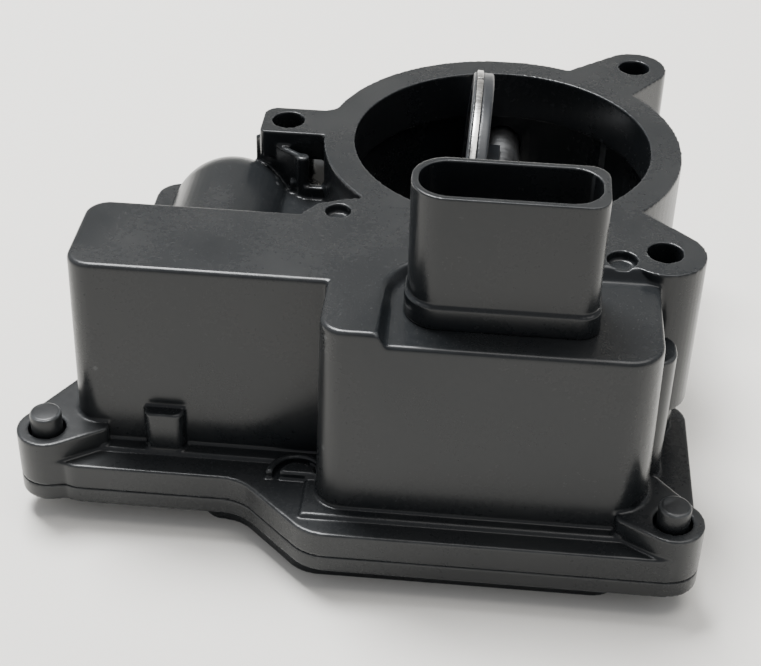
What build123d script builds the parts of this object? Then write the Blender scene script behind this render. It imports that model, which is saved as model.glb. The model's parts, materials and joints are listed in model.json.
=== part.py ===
"""Electronic throttle body: a moulded housing with an offset butterfly, a two-stage gear train and a
motor laid in from below, closed by a bottom cover.

Frame: origin on the bore axis in the plane of the mounting face, +Z up out of that face, the throttle
shaft along Y, and the drive compartment in front of the bore at -Y.  All lengths in millimetres.
"""
from build123d import *
from math import acos, atan2, cos, degrees, hypot, pi, radians, sin, sqrt, tan
import os

os.makedirs("parts", exist_ok=True)

# ------------------------------------------------------------------ bore and mounting face
BORE_R = 30.0
RELIEF_R = 31.4          # bore below the seat, opened for the swinging edge of the disc
SEAT_BOTTOM = -10.6      # height where the seat ends and the relief begins
TUBE_R = 36.3
BASE_Z = -54.0           # lowest face: lower rim of the bore tube and floor of the cover's dish
BOLT_R = 3.3             # clearance hole for an M6 bolt
BOLT_BOSS_Z = -32.0
REAR_LEFT_BOSS_Z = -16.0
REAR_LEFT_BOLT = (-44.3, 3.6)
REAR_RIGHT_BOLT = (28.0, 36.8)
FRONT_RIGHT_BOLT = (31.0, -37.7)

# ------------------------------------------------------------------ drive compartment
WALL = 2.4
DRAFT = 1.2              # degrees, outward going down
LOW_TOP_Z = -2.4         # top of the deep box under the connector
LEFT_X = -77.5
RIGHT_X = 30.0
STEP_X = -29.5           # where the shallow box gives way to the deep one
BACK_Y = -32.0
SHALLOW_Y = -54.3
DEEP_Y = -69.4
CORNER_R = 4.5
FLANGE_TOP = -40.0
SEAM_Z = -45.5           # joint between housing and bottom cover
COVER_Z = -49.0          # underside of the cover's rim
EAR_TOP = -35.5
LEFT_EAR = (-82.8, -57.7)
RIGHT_EAR = (35.0, -71.0)
SKIRT_EAR = (-58.0, 5.0)
EAR_R = 5.8
RIVET_HOLE_R = 3.6
RIVET_R = 3.0
RIVET_TOP = -31.8

# ------------------------------------------------------------------ connector
TOWER_C = (1.55, -56.1)
TOWER_W = 33.4
TOWER_D = 14.0
TOWER_TOP = 23.8
COLLAR_TOP = 2.1
TOWER_WALL = 1.3
TOWER_FLOOR = 1.0
PIN_COUNT = 6
PIN_PITCH = 4.4

# ------------------------------------------------------------------ throttle shaft and disc
SHAFT_Z = -18.0
SHAFT_R = 4.0
DISC_OFFSET = 6.5        # from the shaft's axis to the middle of the disc
DISC_R = 29.3
DISC_T = 4.2
RING_SEAL_R = 29.7
OPEN_ANGLE = 86.0        # degrees from closed to the open stop, where the disc rests
SHAFT_BACK = 41.0
SHAFT_FRONT = -60.5
BEARING_R = 7.0

# ------------------------------------------------------------------ gear train, in the XZ plane
SECTOR_TEETH, STAGE2_PINION, STAGE2_MODULE = 32, 10, 1.0
IDLER2_WHEEL, IDLER1_PINION, STAGE1_MODULE = 36, 13, 0.8
IDLER1_WHEEL, MOTOR_PINION, STAGE0_MODULE = 56, 14, 0.6
MESH_ANGLE = 218.0       # from the throttle shaft to the second idler, seen from the front
IDLER1_Z = -27.8
MOTOR_Z = -18.5
SECTOR_Y = (-43.4, -39.4)
WHEEL2_Y = (-47.2, -44.2)
WHEEL1_Y = (-51.2, -48.2)


def mesh_distance(teeth_a, teeth_b, module):
    """Distance between two meshed axes."""
    return (teeth_a + teeth_b) * module / 2


SHAFT_C = (0.0, SHAFT_Z)
_reach = mesh_distance(SECTOR_TEETH, STAGE2_PINION, STAGE2_MODULE)
IDLER2_C = (_reach * cos(radians(MESH_ANGLE)), SHAFT_Z + _reach * sin(radians(MESH_ANGLE)))
_reach = mesh_distance(IDLER2_WHEEL, IDLER1_PINION, STAGE1_MODULE)
IDLER1_C = (IDLER2_C[0] - sqrt(_reach ** 2 - (IDLER1_Z - IDLER2_C[1]) ** 2), IDLER1_Z)
_reach = mesh_distance(IDLER1_WHEEL, MOTOR_PINION, STAGE0_MODULE)
MOTOR_C = (IDLER1_C[0] - sqrt(_reach ** 2 - (MOTOR_Z - IDLER1_Z) ** 2), MOTOR_Z)

# ------------------------------------------------------------------ motor
MOTOR_R = 10.6
MOTOR_FRONT = -46.6
MOTOR_BACK = -7.0
TUNNEL_R = 10.9
TUNNEL_BACK = -4.6       # far end of the straight tunnel; the bearing boss sits in a smaller pocket
DOME_WALL = 2.0
DOME_Y = -6.5            # centre of the dome's round end
SKIRT_BACK = -1.2
MOTOR_SCREW_R = 7.6
MOTOR_SCREW_ANGLE = 110
BEARING_BOSS_R = 4.6     # stepped boss on the motor's rear end


def front_plane(y):
    """Drawing plane at depth y seen from the front: x to the right, z up, extruding towards -Y."""
    return Plane(origin=(0, y, 0), x_dir=(1, 0, 0), z_dir=(0, -1, 0))


def depth(y_range):
    """Thickness of a layer given as (front, back)."""
    return y_range[1] - y_range[0]


def angle_to(start, end):
    """Angle of the line between two axes, degrees, seen from the front."""
    return degrees(atan2(end[1] - start[1], end[0] - start[0]))


def tooth_outline(teeth, module):
    """Points of one involute tooth centred on the local x axis, thinned for running clearance."""
    pitch_r = teeth * module / 2
    base_r = pitch_r * cos(radians(20))
    root_r = pitch_r - 1.2 * module
    tip_r = pitch_r + 0.85 * module
    thickness = pi * module / 2 - 0.16
    half_at_pitch = thickness / (2 * pitch_r)
    involute_at_pitch = tan(radians(20)) - radians(20)

    def half_angle(r):
        if r <= base_r:
            return half_at_pitch + involute_at_pitch
        pressure = acos(base_r / r)
        return half_at_pitch + involute_at_pitch - (tan(pressure) - pressure)

    start_r = max(root_r, base_r)
    radii = [root_r - 0.15] + [start_r + (tip_r - start_r) * i / 4 for i in range(5)]
    flank = [(r * cos(half_angle(r)), r * sin(half_angle(r))) for r in radii]
    return flank + [(x, -y) for x, y in reversed(flank)]


def draw_gear(centre, teeth, module, first_angle, drawn=None):
    """Toothed wheel drawn in the open sketch, with a tooth on first_angle."""
    step = 360 / teeth
    root_r = teeth * module / 2 - 1.2 * module
    with Locations(centre):
        if drawn is None:
            Circle(root_r)
        with PolarLocations(0, drawn or teeth, first_angle, step * (drawn or teeth), endpoint=False):
            Polygon(*tooth_outline(teeth, module), align=None)


def fan(radius, start, end):
    """Fan of the given radius between two angles, as a sketch about the origin."""
    middle = radians((start + end) / 2)
    with BuildSketch() as sketch:
        with BuildLine():
            side = Line((0, 0), (radius * cos(radians(start)), radius * sin(radians(start))))
            arc = ThreePointArc(side @ 1, (radius * cos(middle), radius * sin(middle)),
                                (radius * cos(radians(end)), radius * sin(radians(end))))
            Line(arc @ 1, (0, 0))
        make_face()
    return sketch.sketch


def save(builder, name):
    """Label one sub-part and write its file."""
    builder.part.label = name
    export_step(builder.part, f"parts/{name}.step")


def foot_outline(with_ears=True):
    """Outline shared by the housing's foot flange and the bottom cover, clear of the bore tube."""
    corners = [(-82.0, -63.5), (-45.2, -63.5), (-31.0, -77.0), (40.0, -77.0), (40.0, -31.0),
               (-28.0, -31.0), (-39.5, -20.0), (-39.5, SKIRT_BACK), (-71.5, SKIRT_BACK),
               (-71.5, -27.0), (-82.0, -27.0)]
    roundings = [6.0, 9.0, 9.0, 6.0, 5.0, 3.0, 3.0, 4.0, 6.0, 5.0, 6.0]
    with BuildSketch() as sketch:
        with BuildLine():
            FilletPolyline(*corners, radius=roundings, close=True)
        make_face()
        if with_ears:
            add(ear_wedge(LEFT_EAR, (-76.0, -61.0), (-80.0, -46.0)))
            add(ear_wedge(RIGHT_EAR, (27.0, -74.0), (37.0, -62.0)))
            add(ear_wedge(SKIRT_EAR, (-66.0, -3.0), (-51.0, -3.0)))
        with Locations((0, 0)):
            Circle(TUBE_R, mode=Mode.SUBTRACT)
    return sketch.sketch


def lug(centre, radius, root, root_radius):
    """Rounded lug from a bolt centre back to a root circle."""
    with BuildSketch() as sketch:
        with Locations(centre):
            Circle(radius)
        with Locations(root):
            Circle(root_radius)
        make_hull()
    return sketch.sketch


def ear_wedge(ear, near, far):
    """Raised pad round a foot ear, tapering to two points on the box walls."""
    with BuildSketch() as sketch:
        with Locations(ear):
            Circle(EAR_R)
        with Locations(near, far):
            Circle(1.2)
        make_hull()
    return sketch.sketch


def tower_outline(grow):
    """Connector shroud, rounder at its left end, grown by the given amount."""
    half_w = TOWER_W / 2 + grow
    half_d = TOWER_D / 2 + grow
    x, y = TOWER_C
    with BuildSketch() as sketch:
        with BuildLine():
            FilletPolyline((x - half_w, y - half_d), (x + half_w, y - half_d), (x + half_w, y + half_d),
                           (x - half_w, y + half_d), radius=[6.4, 3.6, 3.6, 6.4], close=True)
        make_face()
    return sketch.sketch


def dish_outline(grow):
    """Outline of the cover's deeper dish, below the wheels, grown by the given amount."""
    with BuildSketch() as sketch:
        with BuildLine():
            FilletPolyline((-54.0, -60.5), (-46.0, -60.5), (-32.5, -73.5), (28.0, -73.5), (28.0, -40.0),
                           (-20.0, -40.0), (-30.0, -34.0), (-54.0, -34.0),
                           radius=[5.0, 8.0, 8.0, 6.0, 5.0, 4.0, 4.0, 5.0], close=True)
        make_face()
        if grow:
            offset(amount=grow)
    return sketch.sketch


def seal_outline():
    """Closed band of the cover seal, run round the compartment inside the foot's rivets."""
    corners = [(-79.6, -61.2), (-46.2, -61.2), (-32.0, -74.6), (31.2, -74.6), (31.2, -52.0),
               (26.0, -44.5), (26.0, -36.9), (-11.5, -36.9), (-18.5, -33.0), (-31.0, -33.0),
               (-41.0, -22.0), (-41.0, -2.2), (-69.4, -2.2), (-69.4, -29.4), (-79.6, -29.4)]
    roundings = [4.0, 8.0, 8.0, 5.0, 3.0, 3.0, 3.0, 3.0, 3.0, 4.0, 4.0, 3.0, 4.0, 5.0, 5.0]
    with BuildSketch() as outer:
        with BuildLine():
            FilletPolyline(*corners, radius=roundings, close=True)
        make_face()
    with BuildSketch() as band:
        add(outer.sketch)
        offset(outer.sketch, amount=-1.4, mode=Mode.SUBTRACT)
    return band.sketch


# ================================================================== housing
LEFT_POCKET = (LEFT_X + WALL, -22.0, SHALLOW_Y + WALL, BACK_Y - 2.5)      # x0, x1, y0, y1
RIGHT_POCKET = (STEP_X + WALL, RIGHT_X - WALL, DEEP_Y + WALL, -38.5)
LEFT_CEILING = -2.6
RIGHT_CEILING = LOW_TOP_Z - WALL
BULKHEAD_Y = (-47.9, MOTOR_FRONT - 0.1)
BOARD_Y = (-65.6, -64.4)
BOARD_POSTS = [(-12.0, -28.0), (12.0, -28.0), (-12.0, -10.5), (12.0, -10.5)]
BEARING_FRONT = (-38.9, -34.6)
BEARING_REAR = (36.6, 41.0)
SEAL_T = 2.0
BOSS_BACK = 46.0


def rectangle(x0, x1, y0, y1):
    """Rectangle between two corners, drawn in the open sketch."""
    with Locations(((x0 + x1) / 2, (y0 + y1) / 2)):
        Rectangle(x1 - x0, y1 - y0)


with BuildPart() as main_housing:
    # motor dome with its round end, straight skirt and side shoulder
    with BuildSketch(front_plane(DOME_Y)):
        with Locations(MOTOR_C):
            Circle(TUNNEL_R + DOME_WALL)
    extrude(amount=DOME_Y + 36)
    with Locations((MOTOR_C[0], DOME_Y, MOTOR_Z)):
        Sphere(TUNNEL_R + DOME_WALL)
    with BuildSketch(front_plane(SKIRT_BACK - 1.2)):
        rectangle(MOTOR_C[0] - TUNNEL_R - DOME_WALL, MOTOR_C[0] + TUNNEL_R + DOME_WALL,
                  SEAM_Z + 1, MOTOR_Z)
    extrude(amount=SKIRT_BACK - 1.2 + 36)
    with BuildSketch(Plane.XY.offset(SEAM_Z + 1)):
        with Locations((MOTOR_C[0] - 8.4, -16.0)):
            RectangleRounded(15.0, 30.0, 5.0)
    extrude(amount=-14.0 - SEAM_Z - 1)

    # shallow and deep boxes of the drive compartment
    with BuildSketch():
        with BuildLine():
            FilletPolyline((LEFT_X, SHALLOW_Y), (-22.0, SHALLOW_Y), (-22.0, BACK_Y), (LEFT_X, BACK_Y),
                           radius=[CORNER_R, 0, 0, CORNER_R], close=True)
        make_face()
    extrude(amount=SEAM_Z + 1, taper=-DRAFT)
    with BuildSketch():
        with BuildLine():
            FilletPolyline((STEP_X, DEEP_Y), (RIGHT_X, DEEP_Y), (RIGHT_X, -36.1), (STEP_X, -36.1),
                           radius=[CORNER_R, 6.5, 0, 0], close=True)
        make_face()
    extrude(amount=SEAM_Z + 1, taper=-DRAFT)

    # lower top face under the connector
    with BuildSketch():
        with BuildLine():
            FilletPolyline((-19.4, -84.0), (50.0, -84.0), (50.0, -43.6), (-19.4, -43.6),
                           radius=[0, 0, 0, 12.0], close=True)
        make_face()
    extrude(amount=LOW_TOP_Z, taper=32, mode=Mode.SUBTRACT)
    top_rim = main_housing.faces().filter_by(Axis.Z).group_by(Axis.Z)[-1].edges()
    front_rim = main_housing.faces().filter_by(Axis.Z).filter_by_position(
        Axis.Z, LOW_TOP_Z - 0.01, LOW_TOP_Z + 0.01).edges()
    outer_rim = (top_rim + front_rim).filter_by_position(Axis.Y, DEEP_Y - 1, SHALLOW_Y + 0.01)
    fillet(outer_rim, radius=0.8)

    # plate between the boxes and the bore, bore tube and its shaft bosses
    with BuildSketch(Plane.XY.offset(-3.0)):
        Polygon((-37.0, -33.0), (-36.6, -31.5), (-34.3, -28.3), (-29.2, -26.0), (-20.0, -24.0),
                (20.0, -24.0), (30.0, -30.0), (30.0, -42.0), (-37.0, -37.0), align=None)
    extrude(amount=3.0)
    with BuildSketch(Plane.XY.offset(BASE_Z)):
        Circle(TUBE_R)
    extrude(amount=-BASE_Z)
    with BuildSketch(front_plane(BOSS_BACK)):
        with Locations(SHAFT_C):
            Circle(BEARING_R + 2.4)
    extrude(amount=BOSS_BACK + 39.0)

    # foot flange with its raised plinth
    with BuildSketch(Plane.XY.offset(SEAM_Z)):
        add(foot_outline())
    extrude(amount=FLANGE_TOP - SEAM_Z)
    with BuildSketch(Plane.XY.offset(FLANGE_TOP)):
        rectangle(-80.6, -30.0, -58.1, -29.0)
        rectangle(-32.4, 33.2, -72.6, -35.0)
    extrude(amount=0.7)

    # drive compartment, open downward
    with BuildSketch(Plane.XY.offset(SEAM_Z)):
        rectangle(*LEFT_POCKET)
    extrude(amount=LEFT_CEILING - SEAM_Z, mode=Mode.SUBTRACT)
    with BuildSketch(Plane.XY.offset(SEAM_Z)):
        rectangle(*RIGHT_POCKET)
        Polygon((RIGHT_POCKET[1], -50.5), (RIGHT_POCKET[1], RIGHT_POCKET[3]),
                (22.0, RIGHT_POCKET[3]), (22.0, -43.5), align=None, mode=Mode.SUBTRACT)
    extrude(amount=RIGHT_CEILING - SEAM_Z, mode=Mode.SUBTRACT)
    with BuildSketch(front_plane(TUNNEL_BACK)):
        with Locations(MOTOR_C):
            Circle(TUNNEL_R)
        rectangle(MOTOR_C[0] - TUNNEL_R, MOTOR_C[0] + TUNNEL_R, SEAM_Z, MOTOR_Z)
    extrude(amount=TUNNEL_BACK + 36, mode=Mode.SUBTRACT)
    with BuildSketch(front_plane(0.0)):
        with Locations(MOTOR_C):
            Circle(BEARING_BOSS_R + 0.6)
    extrude(amount=-TUNNEL_BACK, mode=Mode.SUBTRACT)

    # mounting lugs, their long bosses and the pads of the foot ears
    with BuildSketch():
        add(lug(REAR_RIGHT_BOLT, 7.0, (16.0, 24.0), 9.0))
        add(lug(FRONT_RIGHT_BOLT, 7.7, (17.0, -25.0), 8.0))
    extrude(amount=BOLT_BOSS_Z)
    with BuildSketch():
        with BuildLine():
            FilletPolyline((-49.7, -1.8), (-30.0, -1.8), (-26.0, 20.0), (-36.0, 8.8), (-49.7, 8.8),
                           radius=[1.5, 0, 0, 4.0, 3.0], close=True)
        make_face()
    extrude(amount=-6.0)
    with BuildSketch():
        with Locations(REAR_LEFT_BOLT):
            Circle(5.2)
    extrude(amount=REAR_LEFT_BOSS_Z)
    with BuildSketch(Plane.XY.offset(SEAM_Z)):
        with Locations(FRONT_RIGHT_BOLT):
            Circle(5.6)
    extrude(amount=BOLT_BOSS_Z - SEAM_Z)
    with BuildSketch(Plane.XY.offset(FLANGE_TOP)):
        add(ear_wedge(LEFT_EAR, (-72.5, -56.4), (-79.6, -43.0)))
        add(ear_wedge(RIGHT_EAR, (26.0, -71.0), (31.8, -60.0)))
        add(ear_wedge(SKIRT_EAR, (-63.0, -3.0), (-53.0, -3.0)))
    extrude(amount=EAR_TOP - FLANGE_TOP)

    # stiffening rib, web and small stops in the gap between the dome and the bore tube
    with BuildSketch(Plane.XY.offset(-3.0)):
        Polygon((-50.3, 2.8), (-51.1, 1.8), (-40.6, -6.1), (-39.8, -5.1), align=None)
        with Locations((-40.2, -5.6)):
            Circle(1.3)
    extrude(amount=-11.0)
    with BuildSketch(Plane.XY.offset(-12.0)):
        Polygon((-46.0, 2.0), (-44.0, 9.0), (-33.5, 12.0), (-30.5, -19.0), (-43.6, -19.0), (-43.6, -10.0),
                align=None)
    extrude(amount=-2.0)
    with BuildSketch(Plane.XY.offset(-12.0)):
        rectangle(-39.8, -35.0, -7.4, -5.8)
        with Locations((-42.2, -4.8)):
            Circle(0.8)
    extrude(amount=2.6)

    # bulge on the right wall, block and ribs on the front wall
    with BuildSketch(Plane.XY.offset(FLANGE_TOP)):
        with Locations((29.8, -51.2)):
            RectangleRounded(8.2, 9.4, 4.0)
    extrude(amount=28.0)
    with BuildSketch(Plane.XY.offset(FLANGE_TOP)):
        with Locations((-60.3, -55.2)):
            RectangleRounded(7.4, 5.2, 1.6)
    extrude(amount=9.3)
    with BuildSketch(Plane.XY.offset(FLANGE_TOP)):
        with Locations((-34.2, -62.6)):
            Circle(6.0)
            Circle(4.7, mode=Mode.SUBTRACT)
            Circle(3.4)
        with Locations((-34.2, -66.6)):
            Rectangle(16.0, 8.0, mode=Mode.SUBTRACT)
    extrude(amount=1.7)

    # air bore with its seat and relief
    with BuildSketch(Plane.XY.offset(BASE_Z)):
        Circle(RELIEF_R)
    extrude(amount=SEAT_BOTTOM - BASE_Z, mode=Mode.SUBTRACT)
    with BuildSketch(Plane.XY.offset(SEAT_BOTTOM)):
        Circle(BORE_R)
    extrude(amount=-SEAT_BOTTOM, mode=Mode.SUBTRACT)

    # holes: bolts, foot ears, shaft, bearings, shallow marks in the face
    with Locations(REAR_LEFT_BOLT, REAR_RIGHT_BOLT, FRONT_RIGHT_BOLT):
        Hole(BOLT_R)
    with BuildSketch(Plane.XY.offset(REAR_LEFT_BOSS_Z)):
        with Locations(REAR_LEFT_BOLT):
            Circle(BOLT_R + 1.2)
    extrude(amount=-20.0, mode=Mode.SUBTRACT)
    with BuildSketch(Plane.XY.offset(SEAM_Z)):
        with Locations(LEFT_EAR, RIGHT_EAR, SKIRT_EAR):
            Circle(RIVET_HOLE_R)
    extrude(amount=EAR_TOP - SEAM_Z, mode=Mode.SUBTRACT)
    with BuildSketch(front_plane(BOSS_BACK)):
        with Locations(SHAFT_C):
            Circle(SHAFT_R + 0.3)
    extrude(amount=BOSS_BACK + 39.0, mode=Mode.SUBTRACT)
    with BuildSketch(front_plane(BEARING_FRONT[1] + SEAL_T)):
        with Locations(SHAFT_C):
            Circle(BEARING_R)
    extrude(amount=BEARING_FRONT[1] + SEAL_T + 39.0, mode=Mode.SUBTRACT)
    with BuildSketch(front_plane(BOSS_BACK)):
        with Locations(SHAFT_C):
            Circle(BEARING_R)
    extrude(amount=BOSS_BACK - BEARING_REAR[0] + SEAL_T, mode=Mode.SUBTRACT)
    with BuildSketch():
        with Locations((-30.2, -30.6)):
            Circle(2.4)
        with Locations((23.0, -41.0)):
            Circle(2.8)
    extrude(amount=-1.8, mode=Mode.SUBTRACT)

    # opening that the connector shroud is set into
    with BuildSketch(Plane.XY.offset(RIGHT_CEILING)):
        add(tower_outline(0.0))
    extrude(amount=LOW_TOP_Z - RIGHT_CEILING, mode=Mode.SUBTRACT)

    # bosses of the idler pins, motor bulkhead and board posts
    with BuildSketch(front_plane(-30.0)):
        with Locations(IDLER2_C):
            Circle(3.4)
    extrude(amount=9.1)
    with BuildSketch(front_plane(-30.0)):
        with Locations(IDLER1_C):
            Circle(3.4)
    extrude(amount=13.9)
    with BuildSketch(front_plane(-30.0)):
        with Locations(IDLER1_C, IDLER2_C):
            Circle(1.5)
    extrude(amount=20, mode=Mode.SUBTRACT)
    with BuildSketch(front_plane(BULKHEAD_Y[1])):
        rectangle(MOTOR_C[0] - 14.0, MOTOR_C[0] + 11.0, MOTOR_Z - 13.0, LEFT_CEILING)
    extrude(amount=depth(BULKHEAD_Y))
    with BuildSketch(front_plane(BULKHEAD_Y[1])):
        with Locations(MOTOR_C):
            Circle(3.7)
        with Locations((MOTOR_C[0], MOTOR_Z - 8)):
            Rectangle(7.4, 16.0)
        with Locations(MOTOR_C):
            with PolarLocations(MOTOR_SCREW_R, 2, MOTOR_SCREW_ANGLE, 240):
                Circle(1.3)
    extrude(amount=depth(BULKHEAD_Y), mode=Mode.SUBTRACT)
    with BuildSketch(front_plane(BOARD_Y[0])):
        with Locations(BOARD_POSTS):
            Circle(1.5)
    extrude(amount=1.4)
    with BuildSketch(front_plane(BOARD_Y[1] + 0.6)):
        with Locations(BOARD_POSTS):
            Circle(0.8)
    extrude(amount=1.8)
save(main_housing, "main_housing")

# ================================================================== connector shroud
with BuildPart() as connector_shroud:
    with BuildSketch(Plane.XY.offset(RIGHT_CEILING)):
        add(tower_outline(0.0))
    extrude(amount=TOWER_TOP - RIGHT_CEILING)
    with BuildSketch(Plane.XY.offset(LOW_TOP_Z)):
        add(tower_outline(0.5))
    extrude(amount=COLLAR_TOP - LOW_TOP_Z)
    with BuildSketch(Plane.XY.offset(TOWER_FLOOR)):
        with Locations(TOWER_C):
            RectangleRounded(TOWER_W - 2 * TOWER_WALL, TOWER_D - 2 * TOWER_WALL, 5.2)
    extrude(amount=TOWER_TOP - TOWER_FLOOR, mode=Mode.SUBTRACT)
    with BuildSketch(Plane.XY.offset(RIGHT_CEILING)):
        with Locations(TOWER_C):
            with GridLocations(PIN_PITCH, 1, PIN_COUNT, 1):
                Rectangle(2.2, 0.8)
    extrude(amount=TOWER_FLOOR - RIGHT_CEILING, mode=Mode.SUBTRACT)
save(connector_shroud, "connector_shroud")

# ================================================================== bottom cover, seal and rivets
with BuildPart() as bottom_cover:
    with BuildSketch(Plane.XY.offset(COVER_Z)):
        add(foot_outline())
        Circle(TUBE_R + 0.3, mode=Mode.SUBTRACT)
    extrude(amount=SEAM_Z - COVER_Z)
    with BuildSketch(Plane.XY.offset(COVER_Z)):
        add(dish_outline(0.0))
    extrude(amount=BASE_Z - COVER_Z, taper=6)
    with BuildSketch(Plane.XY.offset(SEAM_Z)):
        add(dish_outline(-2.4))
    extrude(amount=BASE_Z + 2.2 - SEAM_Z, mode=Mode.SUBTRACT)
    with BuildSketch(Plane.XY.offset(SEAM_Z)):
        add(seal_outline())
    extrude(amount=-1.2, mode=Mode.SUBTRACT)
    with BuildSketch(Plane.XY.offset(COVER_Z)):
        with Locations(LEFT_EAR, RIGHT_EAR, SKIRT_EAR):
            Circle(RIVET_R)
        with Locations(FRONT_RIGHT_BOLT):
            Circle(BOLT_R + 0.5)
    extrude(amount=SEAM_Z - COVER_Z, mode=Mode.SUBTRACT)
    with BuildSketch(front_plane(-29.0)):
        rectangle(MOTOR_C[0] - 9.0, MOTOR_C[0] + 9.0, SEAM_Z, MOTOR_Z - 9.0)
        with Locations(MOTOR_C):
            Circle(MOTOR_R, mode=Mode.SUBTRACT)
    extrude(amount=2.0)
    with BuildSketch(front_plane(-5.0)):
        rectangle(MOTOR_C[0] - 9.0, MOTOR_C[0] + 9.0, SEAM_Z, MOTOR_Z - 9.0)
        with Locations(MOTOR_C):
            Circle(MOTOR_R, mode=Mode.SUBTRACT)
    extrude(amount=2.0)
save(bottom_cover, "bottom_cover")

with BuildPart() as cover_seal:
    with BuildSketch(Plane.XY.offset(SEAM_Z)):
        add(seal_outline())
    extrude(amount=-1.2)
save(cover_seal, "cover_seal")

with BuildPart() as cover_rivets:
    with BuildSketch(Plane.XY.offset(COVER_Z - 1.4)):
        with Locations(LEFT_EAR, RIGHT_EAR, SKIRT_EAR):
            Circle(4.2)
    extrude(amount=1.4)
    with BuildSketch(Plane.XY.offset(COVER_Z)):
        with Locations(LEFT_EAR, RIGHT_EAR, SKIRT_EAR):
            Circle(RIVET_R)
    extrude(amount=RIVET_TOP - COVER_Z)
    chamfer(cover_rivets.edges().filter_by(GeomType.CIRCLE).group_by(Axis.Z)[-1], length=0.4)
save(cover_rivets, "cover_rivets")

# ================================================================== throttle shaft, disc and seal ring
OPEN = radians(OPEN_ANGLE)


def disc_plane(distance):
    """Plane parallel to the resting disc: x up along the disc, y along the shaft, z away from it."""
    return Plane(origin=(-distance * sin(OPEN), 0, SHAFT_Z + distance * cos(OPEN)),
                 x_dir=(cos(OPEN), 0, sin(OPEN)), z_dir=(-sin(OPEN), 0, cos(OPEN)))


DISC_NEAR = DISC_OFFSET - DISC_T / 2
DISC_FAR = DISC_OFFSET + DISC_T / 2
RING_FROM = DISC_OFFSET + 0.2
RING_T = 1.2
RING_ROOT_R = 27.8
RING_GAP_ANGLE = 8.0
SCREW_Y = (-12.0, 12.0)
FLAT = -3.0              # flat on the shaft under the screw heads

with BuildPart() as throttle_shaft:
    with BuildSketch(front_plane(SHAFT_BACK)):
        with Locations(SHAFT_C):
            Circle(SHAFT_R)
    extrude(amount=SHAFT_BACK - SHAFT_FRONT)
    chamfer(throttle_shaft.edges().filter_by(GeomType.CIRCLE), length=0.4)
    with BuildSketch(disc_plane(FLAT)):
        Rectangle(12, 36)
    extrude(amount=-3, mode=Mode.SUBTRACT)
    with BuildSketch(disc_plane(FLAT)):
        with Locations(*[(0, y) for y in SCREW_Y]):
            Circle(2.0)
    extrude(amount=10, mode=Mode.SUBTRACT)
save(throttle_shaft, "throttle_shaft")

with BuildPart() as throttle_disc:
    with BuildSketch(disc_plane(DISC_NEAR)):
        Circle(DISC_R)
    extrude(amount=DISC_T)
    fillet(throttle_disc.edges().filter_by(GeomType.CIRCLE), radius=0.5)
    with BuildSketch(disc_plane(DISC_FAR)):
        Circle(25.6)
    extrude(amount=-1.1, mode=Mode.SUBTRACT)
    with BuildSketch(disc_plane(DISC_NEAR)):
        Circle(25.6)
        Rectangle(11, 42, mode=Mode.SUBTRACT)
        with PolarLocations(0, 6, 30):
            Rectangle(56, 1.6, mode=Mode.SUBTRACT)
    extrude(amount=1.1, mode=Mode.SUBTRACT)
    with BuildSketch(disc_plane(0.6)):
        Rectangle(11, 42)
    extrude(amount=DISC_NEAR - 0.6)
    with BuildSketch(front_plane(SHAFT_BACK)):
        with Locations(SHAFT_C):
            Circle(SHAFT_R)
    extrude(amount=SHAFT_BACK - SHAFT_FRONT, mode=Mode.SUBTRACT)
    with BuildSketch(disc_plane(RING_FROM)):
        Circle(DISC_R + 1)
        Circle(RING_ROOT_R, mode=Mode.SUBTRACT)
    extrude(amount=RING_T, mode=Mode.SUBTRACT)
    with BuildSketch(disc_plane(0)):
        with Locations(*[(0, y) for y in SCREW_Y]):
            Circle(2.0)
    extrude(amount=DISC_OFFSET + 0.6, mode=Mode.SUBTRACT)
save(throttle_disc, "throttle_disc")

with BuildPart() as seal_ring:
    with BuildSketch(disc_plane(RING_FROM)):
        Circle(RING_SEAL_R)
        Circle(RING_ROOT_R, mode=Mode.SUBTRACT)
        with PolarLocations(RING_SEAL_R - 1, 1, RING_GAP_ANGLE):
            Rectangle(4, 1.0, mode=Mode.SUBTRACT)
    extrude(amount=RING_T)
save(seal_ring, "seal_ring")

with BuildPart() as disc_screws:
    with BuildSketch(disc_plane(FLAT)):
        with Locations(*[(0, y) for y in SCREW_Y]):
            Circle(2.0)
    extrude(amount=DISC_OFFSET - FLAT + 0.6)
    with BuildSketch(disc_plane(FLAT)):
        with Locations(*[(0, y) for y in SCREW_Y]):
            Circle(3.4)
    extrude(amount=-2.2)
    with BuildSketch(disc_plane(FLAT - 2.2)):
        with Locations(*[(0, y) for y in SCREW_Y]):
            RegularPolygon(1.5, 6)
    extrude(amount=1.2, mode=Mode.SUBTRACT)
save(disc_screws, "disc_screws")

# ================================================================== bearings, shaft seals and plug


def shaft_ring(name, outer_r, inner_r, y_back, thickness):
    """Plain ring round the throttle shaft."""
    with BuildPart() as ring:
        with BuildSketch(front_plane(y_back)):
            with Locations(SHAFT_C):
                Circle(outer_r)
                if inner_r:
                    Circle(inner_r, mode=Mode.SUBTRACT)
        extrude(amount=thickness)
    save(ring, name)


shaft_ring("front_bearing", BEARING_R, SHAFT_R + 0.02, BEARING_FRONT[1], depth(BEARING_FRONT))
shaft_ring("rear_bearing", BEARING_R, SHAFT_R + 0.02, BEARING_REAR[1], depth(BEARING_REAR))
shaft_ring("front_shaft_seal", BEARING_R, SHAFT_R + 0.08, BEARING_FRONT[1] + SEAL_T, SEAL_T)
shaft_ring("rear_shaft_seal", BEARING_R, SHAFT_R + 0.08, BEARING_REAR[0], SEAL_T)
shaft_ring("rear_plug", BEARING_R, 0, BOSS_BACK, 2.6)

# ================================================================== gears
SPOOL_R = 5.2
SPOOL_FLANGE_R = 9.4
SPRING_Y = (-59.4, -50.4)
MAGNET_R = 5.5
MAGNET_Y = (-62.8, -60.8)

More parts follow.
